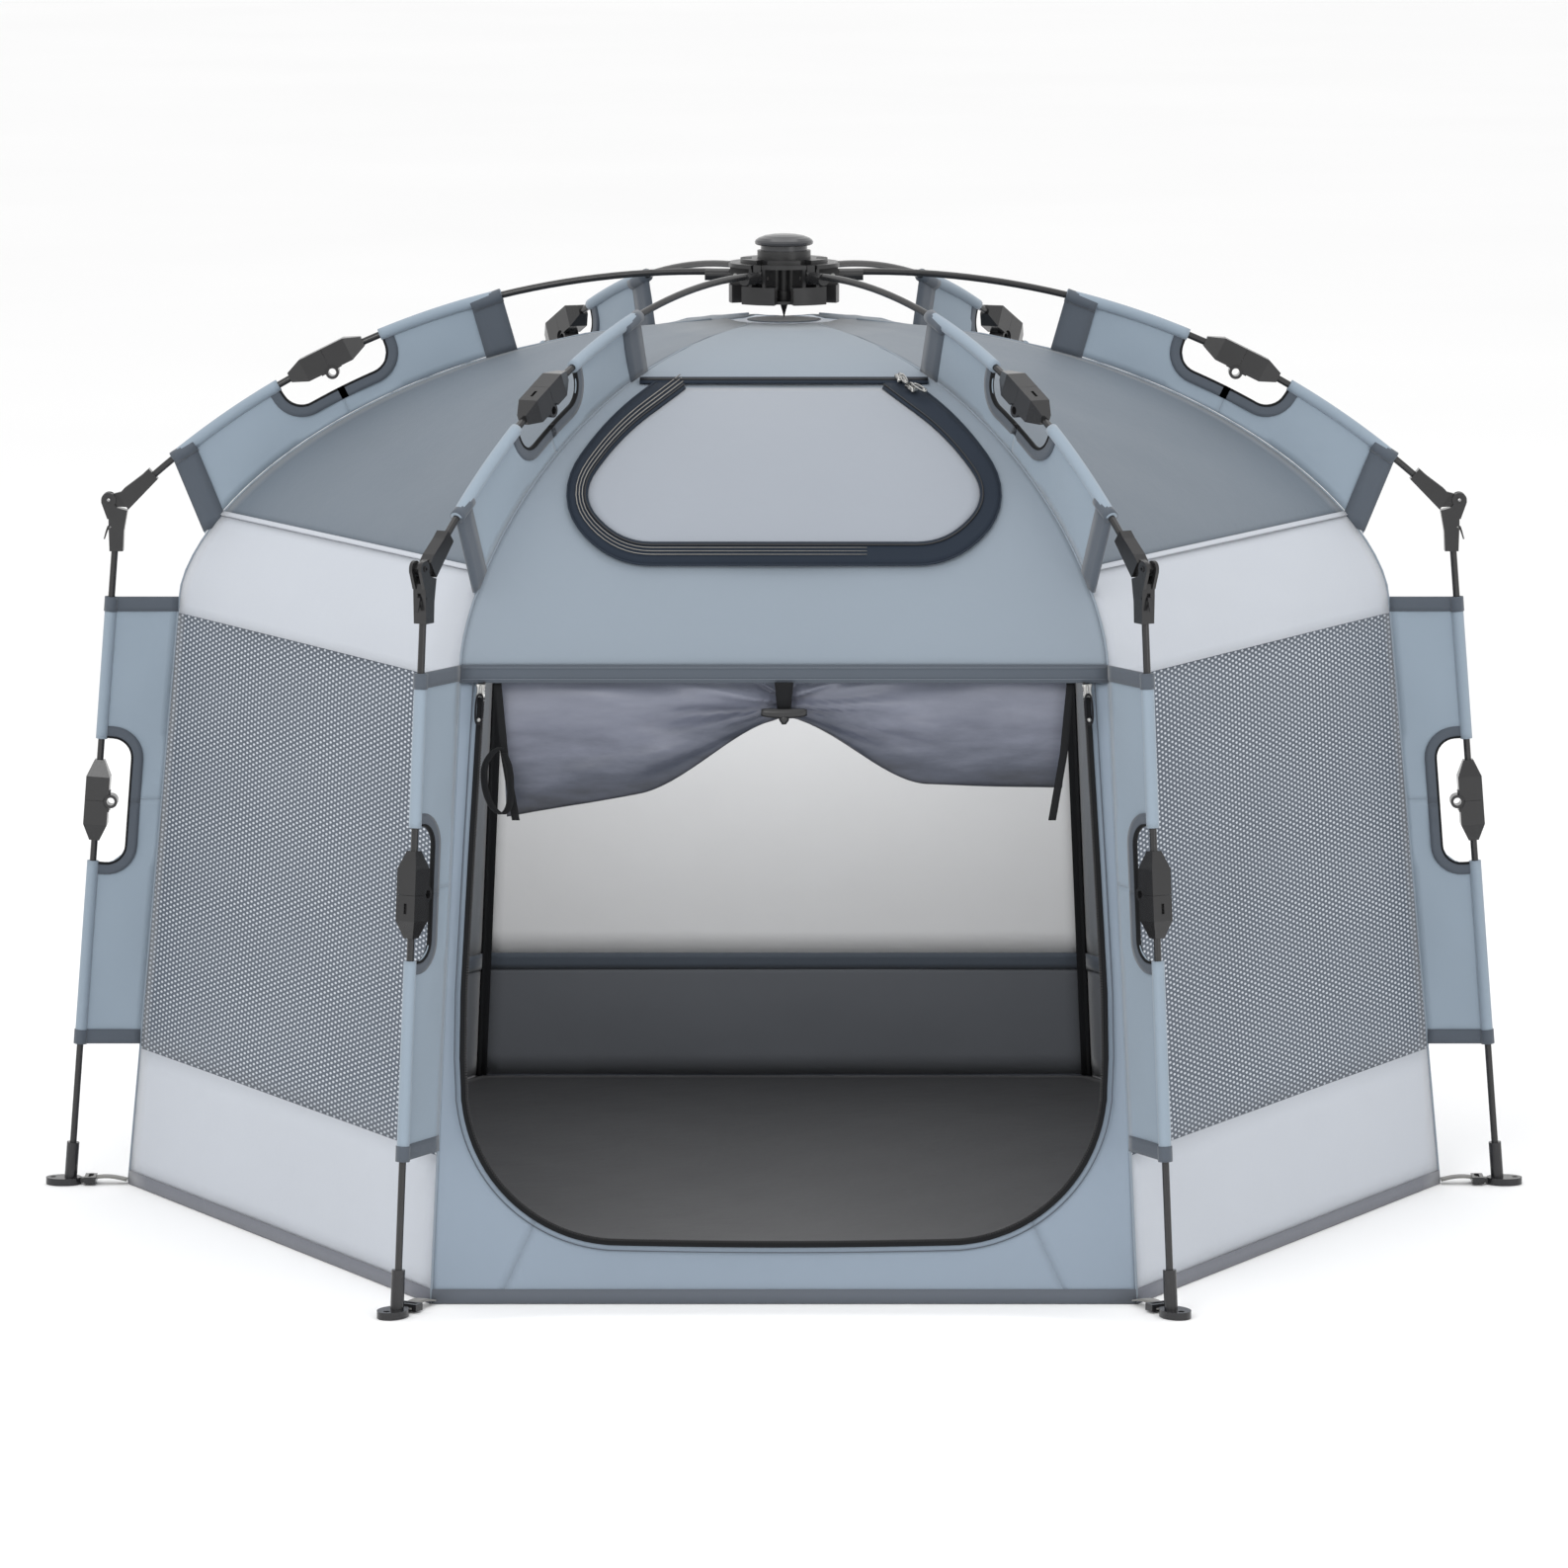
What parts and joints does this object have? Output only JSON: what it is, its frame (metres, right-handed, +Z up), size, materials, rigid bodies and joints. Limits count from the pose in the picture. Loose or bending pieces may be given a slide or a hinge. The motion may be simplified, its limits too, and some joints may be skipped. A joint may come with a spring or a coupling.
{
  "type": "travel play yard",
  "caption": "Six-sided pop-up tent play yard with mesh walls, a zipped arch door, a roof window and an outer folding frame of hinged poles on a hub",
  "frame": {"origin": "the middle of the floor mat, on the floor, under the hub", "axes": "+Z up, +X towards one side foot and the longest extent, door face towards -Y"},
  "size_m": [1.536, 1.3332, 0.989],
  "materials": {
    "frame": "dark grey rods and moulded hinges, satin",
    "foot": "dark grey moulded feet",
    "lever": "dark grey moulded levers",
    "hub": "dark grey moulded hub",
    "cap": "dark grey satin-gloss cap",
    "pins": "steel hinge pins",
    "tether": "dark grey tapered tether",
    "mat": "charcoal coated fabric floor",
    "binding": "grey binding tape",
    "light_fabric": "pale grey woven fabric",
    "mesh": "dark slate mesh with pale holes",
    "sheer": "semi-sheer grey fabric",
    "blue_fabric": "grey-blue woven fabric",
    "header": "dark slate fabric band",
    "window_flap": "pale grey window flap",
    "window_border": "very dark navy binding",
    "zip": "black zip tape and coil",
    "slider": "black lacquered zip slider",
    "window_slider": "metal zip sliders",
    "flap": "purple-grey satin door flap",
    "tie": "black strap and toggle",
    "strap": "pale webbing straps"
  },
  "bodies": {
    "tent": {"floor_mat": "mat", "base_binding": "binding", "skirt_panels": "light_fabric", "mesh_panels": "mesh", "eave_panels": "light_fabric", "roof_panels": "sheer", "front_roof_panel": "blue_fabric", "window_flap": "window_flap", "window_zip": "window_border", "door_panel": "blue_fabric", "door_header": "header", "door_zip": "zip", "door_flap": "flap", "door_tie": "tie", "arch_fins": "blue_fabric", "leg_fins": "blue_fabric", "foot_straps": "strap"},
    "hub": {"hub_body": "hub", "hub_pins": "pins", "hub_tether": "tether"},
    "cap": {"hub_cap": "cap"},
    "window_pulls": {"window_sliders": "window_slider"},
    "door_pull_left": {"door_slider_left": "slider"},
    "door_pull_right": {"door_slider_right": "slider"},
    "inner_pole_0": {"arch_inner_0": "frame"},
    "outer_pole_0": {"arch_outer_0": "frame"},
    "upper_leg_0": {"leg_upper_0": "frame"},
    "lower_leg_0": {"leg_lower_0": "frame", "foot_0": "foot"},
    "lever_0": {"elbow_lever_0": "lever"},
    "inner_pole_1": {"arch_inner_1": "frame"},
    "outer_pole_1": {"arch_outer_1": "frame"},
    "upper_leg_1": {"leg_upper_1": "frame"},
    "lower_leg_1": {"leg_lower_1": "frame", "foot_1": "foot"},
    "lever_1": {"elbow_lever_1": "lever"},
    "inner_pole_2": {"arch_inner_2": "frame"},
    "outer_pole_2": {"arch_outer_2": "frame"},
    "upper_leg_2": {"leg_upper_2": "frame"},
    "lower_leg_2": {"leg_lower_2": "frame", "foot_2": "foot"},
    "lever_2": {"elbow_lever_2": "lever"},
    "inner_pole_3": {"arch_inner_3": "frame"},
    "outer_pole_3": {"arch_outer_3": "frame"},
    "upper_leg_3": {"leg_upper_3": "frame"},
    "lower_leg_3": {"leg_lower_3": "frame", "foot_3": "foot"},
    "lever_3": {"elbow_lever_3": "lever"},
    "inner_pole_4": {"arch_inner_4": "frame"},
    "outer_pole_4": {"arch_outer_4": "frame"},
    "upper_leg_4": {"leg_upper_4": "frame"},
    "lower_leg_4": {"leg_lower_4": "frame", "foot_4": "foot"},
    "lever_4": {"elbow_lever_4": "lever"},
    "inner_pole_5": {"arch_inner_5": "frame"},
    "outer_pole_5": {"arch_outer_5": "frame"},
    "upper_leg_5": {"leg_upper_5": "frame"},
    "lower_leg_5": {"leg_lower_5": "frame", "foot_5": "foot"},
    "lever_5": {"elbow_lever_5": "lever"}
  },
  "joints": [
    {"name": "frame_fold", "type": "slide", "parent": "tent", "child": "hub", "axis": [0, 0, -1], "range_m": [0, 0.742], "deforming": ["base_binding", "skirt_panels", "mesh_panels", "eave_panels", "roof_panels", "front_roof_panel", "window_flap", "window_zip", "door_panel", "door_header", "door_zip", "door_flap", "door_tie", "arch_fins", "leg_fins", "foot_straps"]},
    {"name": "hub_hinge_0", "type": "hinge", "parent": "hub", "child": "inner_pole_0", "pos_m": [0.05, 0, 0.947], "axis": [0, -1, 0], "range_deg": [0, 98.61]},
    {"name": "arch_hinge_0", "type": "hinge", "parent": "inner_pole_0", "child": "outer_pole_0", "pos_m": [0.46256, 0, 0.84734], "axis": [0, 1, 0], "range_deg": [0, 147.41]},
    {"name": "elbow_hinge_0", "type": "hinge", "parent": "outer_pole_0", "child": "upper_leg_0", "pos_m": [0.6935, 0, 0.7158], "axis": [0, -1, 0], "range_deg": [0, 216.11]},
    {"name": "leg_hinge_0", "type": "hinge", "parent": "upper_leg_0", "child": "lower_leg_0", "pos_m": [0.6952, 0, 0.40282], "axis": [0, 1, 0], "range_deg": [0, 175.91]},
    {"name": "elbow_lever_press_0", "type": "hinge", "parent": "upper_leg_0", "child": "lever_0", "pos_m": [0.6922, 0, 0.6875], "axis": [0, 1, 0], "range_deg": [0, 10], "stiffness_Nm_per_rad": 0.02},
    {"name": "hub_hinge_1", "type": "hinge", "parent": "hub", "child": "inner_pole_1", "pos_m": [0.025, 0.0433, 0.947], "axis": [0.866, -0.5, 0], "range_deg": [0, 98.61]},
    {"name": "arch_hinge_1", "type": "hinge", "parent": "inner_pole_1", "child": "outer_pole_1", "pos_m": [0.23128, 0.40059, 0.84734], "axis": [-0.866, 0.5, 0], "range_deg": [0, 147.41]},
    {"name": "elbow_hinge_1", "type": "hinge", "parent": "outer_pole_1", "child": "upper_leg_1", "pos_m": [0.34675, 0.60059, 0.7158], "axis": [0.866, -0.5, 0], "range_deg": [0, 216.11]},
    {"name": "leg_hinge_1", "type": "hinge", "parent": "upper_leg_1", "child": "lower_leg_1", "pos_m": [0.3476, 0.60206, 0.40282], "axis": [-0.866, 0.5, 0], "range_deg": [0, 175.91]},
    {"name": "elbow_lever_press_1", "type": "hinge", "parent": "upper_leg_1", "child": "lever_1", "pos_m": [0.3461, 0.59946, 0.6875], "axis": [-0.866, 0.5, 0], "range_deg": [0, 10], "stiffness_Nm_per_rad": 0.02},
    {"name": "hub_hinge_2", "type": "hinge", "parent": "hub", "child": "inner_pole_2", "pos_m": [-0.025, 0.0433, 0.947], "axis": [0.866, 0.5, 0], "range_deg": [0, 98.61]},
    {"name": "arch_hinge_2", "type": "hinge", "parent": "inner_pole_2", "child": "outer_pole_2", "pos_m": [-0.23128, 0.40059, 0.84734], "axis": [-0.866, -0.5, 0], "range_deg": [0, 147.41]},
    {"name": "elbow_hinge_2", "type": "hinge", "parent": "outer_pole_2", "child": "upper_leg_2", "pos_m": [-0.34675, 0.60059, 0.7158], "axis": [0.866, 0.5, 0], "range_deg": [0, 216.11]},
    {"name": "leg_hinge_2", "type": "hinge", "parent": "upper_leg_2", "child": "lower_leg_2", "pos_m": [-0.3476, 0.60206, 0.40282], "axis": [-0.866, -0.5, 0], "range_deg": [0, 175.91]},
    {"name": "elbow_lever_press_2", "type": "hinge", "parent": "upper_leg_2", "child": "lever_2", "pos_m": [-0.3461, 0.59946, 0.6875], "axis": [-0.866, -0.5, 0], "range_deg": [0, 10], "stiffness_Nm_per_rad": 0.02},
    {"name": "hub_hinge_3", "type": "hinge", "parent": "hub", "child": "inner_pole_3", "pos_m": [-0.05, 0, 0.947], "axis": [0, 1, 0], "range_deg": [0, 98.61]},
    {"name": "arch_hinge_3", "type": "hinge", "parent": "inner_pole_3", "child": "outer_pole_3", "pos_m": [-0.46256, 0, 0.84734], "axis": [0, -1, 0], "range_deg": [0, 147.41]},
    {"name": "elbow_hinge_3", "type": "hinge", "parent": "outer_pole_3", "child": "upper_leg_3", "pos_m": [-0.6935, 0, 0.7158], "axis": [0, 1, 0], "range_deg": [0, 216.11]},
    {"name": "leg_hinge_3", "type": "hinge", "parent": "upper_leg_3", "child": "lower_leg_3", "pos_m": [-0.6952, 0, 0.40282], "axis": [0, -1, 0], "range_deg": [0, 175.91]},
    {"name": "elbow_lever_press_3", "type": "hinge", "parent": "upper_leg_3", "child": "lever_3", "pos_m": [-0.6922, 0, 0.6875], "axis": [0, -1, 0], "range_deg": [0, 10], "stiffness_Nm_per_rad": 0.02},
    {"name": "hub_hinge_4", "type": "hinge", "parent": "hub", "child": "inner_pole_4", "pos_m": [-0.025, -0.0433, 0.947], "axis": [-0.866, 0.5, 0], "range_deg": [0, 98.61]},
    {"name": "arch_hinge_4", "type": "hinge", "parent": "inner_pole_4", "child": "outer_pole_4", "pos_m": [-0.23128, -0.40059, 0.84734], "axis": [0.866, -0.5, 0], "range_deg": [0, 147.41]},
    {"name": "elbow_hinge_4", "type": "hinge", "parent": "outer_pole_4", "child": "upper_leg_4", "pos_m": [-0.34675, -0.60059, 0.7158], "axis": [-0.866, 0.5, 0], "range_deg": [0, 216.11]},
    {"name": "leg_hinge_4", "type": "hinge", "parent": "upper_leg_4", "child": "lower_leg_4", "pos_m": [-0.3476, -0.60206, 0.40282], "axis": [0.866, -0.5, 0], "range_deg": [0, 175.91]},
    {"name": "elbow_lever_press_4", "type": "hinge", "parent": "upper_leg_4", "child": "lever_4", "pos_m": [-0.3461, -0.59946, 0.6875], "axis": [0.866, -0.5, 0], "range_deg": [0, 10], "stiffness_Nm_per_rad": 0.02},
    {"name": "hub_hinge_5", "type": "hinge", "parent": "hub", "child": "inner_pole_5", "pos_m": [0.025, -0.0433, 0.947], "axis": [-0.866, -0.5, 0], "range_deg": [0, 98.61]},
    {"name": "arch_hinge_5", "type": "hinge", "parent": "inner_pole_5", "child": "outer_pole_5", "pos_m": [0.23128, -0.40059, 0.84734], "axis": [0.866, 0.5, 0], "range_deg": [0, 147.41]},
    {"name": "elbow_hinge_5", "type": "hinge", "parent": "outer_pole_5", "child": "upper_leg_5", "pos_m": [0.34675, -0.60059, 0.7158], "axis": [-0.866, -0.5, 0], "range_deg": [0, 216.11]},
    {"name": "leg_hinge_5", "type": "hinge", "parent": "upper_leg_5", "child": "lower_leg_5", "pos_m": [0.3476, -0.60206, 0.40282], "axis": [0.866, 0.5, 0], "range_deg": [0, 175.91]},
    {"name": "elbow_lever_press_5", "type": "hinge", "parent": "upper_leg_5", "child": "lever_5", "pos_m": [0.3461, -0.59946, 0.6875], "axis": [0.866, 0.5, 0], "range_deg": [0, 10], "stiffness_Nm_per_rad": 0.02},
    {"name": "cap_press", "type": "slide", "parent": "hub", "child": "cap", "axis": [0, 0, -1], "range_m": [0, 0.005], "stiffness_N_per_m": 1500},
    {"name": "window_slider_run", "type": "slide", "parent": "tent", "child": "window_pulls", "axis": [-1, 0, 0], "range_m": [0, 0.235]},
    {"name": "door_slider_left_run", "type": "slide", "parent": "tent", "child": "door_pull_left", "axis": [-0.0613, -0.0846, -0.9945], "range_m": [0, 0.25]},
    {"name": "door_slider_right_run", "type": "slide", "parent": "tent", "child": "door_pull_right", "axis": [0.0613, -0.0846, -0.9945], "range_m": [0, 0.25]}
  ],
  "couplings": [
    {"joint": "hub_hinge_0", "follows": "frame_fold", "rad_per_m": 2.3193},
    {"joint": "arch_hinge_0", "follows": "frame_fold", "rad_per_m": 3.4671},
    {"joint": "elbow_hinge_0", "follows": "frame_fold", "rad_per_m": 5.0831},
    {"joint": "leg_hinge_0", "follows": "frame_fold", "rad_per_m": 4.1375},
    {"joint": "hub_hinge_1", "follows": "frame_fold", "rad_per_m": 2.3193},
    {"joint": "arch_hinge_1", "follows": "frame_fold", "rad_per_m": 3.4671},
    {"joint": "elbow_hinge_1", "follows": "frame_fold", "rad_per_m": 5.0831},
    {"joint": "leg_hinge_1", "follows": "frame_fold", "rad_per_m": 4.1375},
    {"joint": "hub_hinge_2", "follows": "frame_fold", "rad_per_m": 2.3193},
    {"joint": "arch_hinge_2", "follows": "frame_fold", "rad_per_m": 3.4671},
    {"joint": "elbow_hinge_2", "follows": "frame_fold", "rad_per_m": 5.0831},
    {"joint": "leg_hinge_2", "follows": "frame_fold", "rad_per_m": 4.1375},
    {"joint": "hub_hinge_3", "follows": "frame_fold", "rad_per_m": 2.3193},
    {"joint": "arch_hinge_3", "follows": "frame_fold", "rad_per_m": 3.4671},
    {"joint": "elbow_hinge_3", "follows": "frame_fold", "rad_per_m": 5.0831},
    {"joint": "leg_hinge_3", "follows": "frame_fold", "rad_per_m": 4.1375},
    {"joint": "hub_hinge_4", "follows": "frame_fold", "rad_per_m": 2.3193},
    {"joint": "arch_hinge_4", "follows": "frame_fold", "rad_per_m": 3.4671},
    {"joint": "elbow_hinge_4", "follows": "frame_fold", "rad_per_m": 5.0831},
    {"joint": "leg_hinge_4", "follows": "frame_fold", "rad_per_m": 4.1375},
    {"joint": "hub_hinge_5", "follows": "frame_fold", "rad_per_m": 2.3193},
    {"joint": "arch_hinge_5", "follows": "frame_fold", "rad_per_m": 3.4671},
    {"joint": "elbow_hinge_5", "follows": "frame_fold", "rad_per_m": 5.0831},
    {"joint": "leg_hinge_5", "follows": "frame_fold", "rad_per_m": 4.1375}
  ]
}
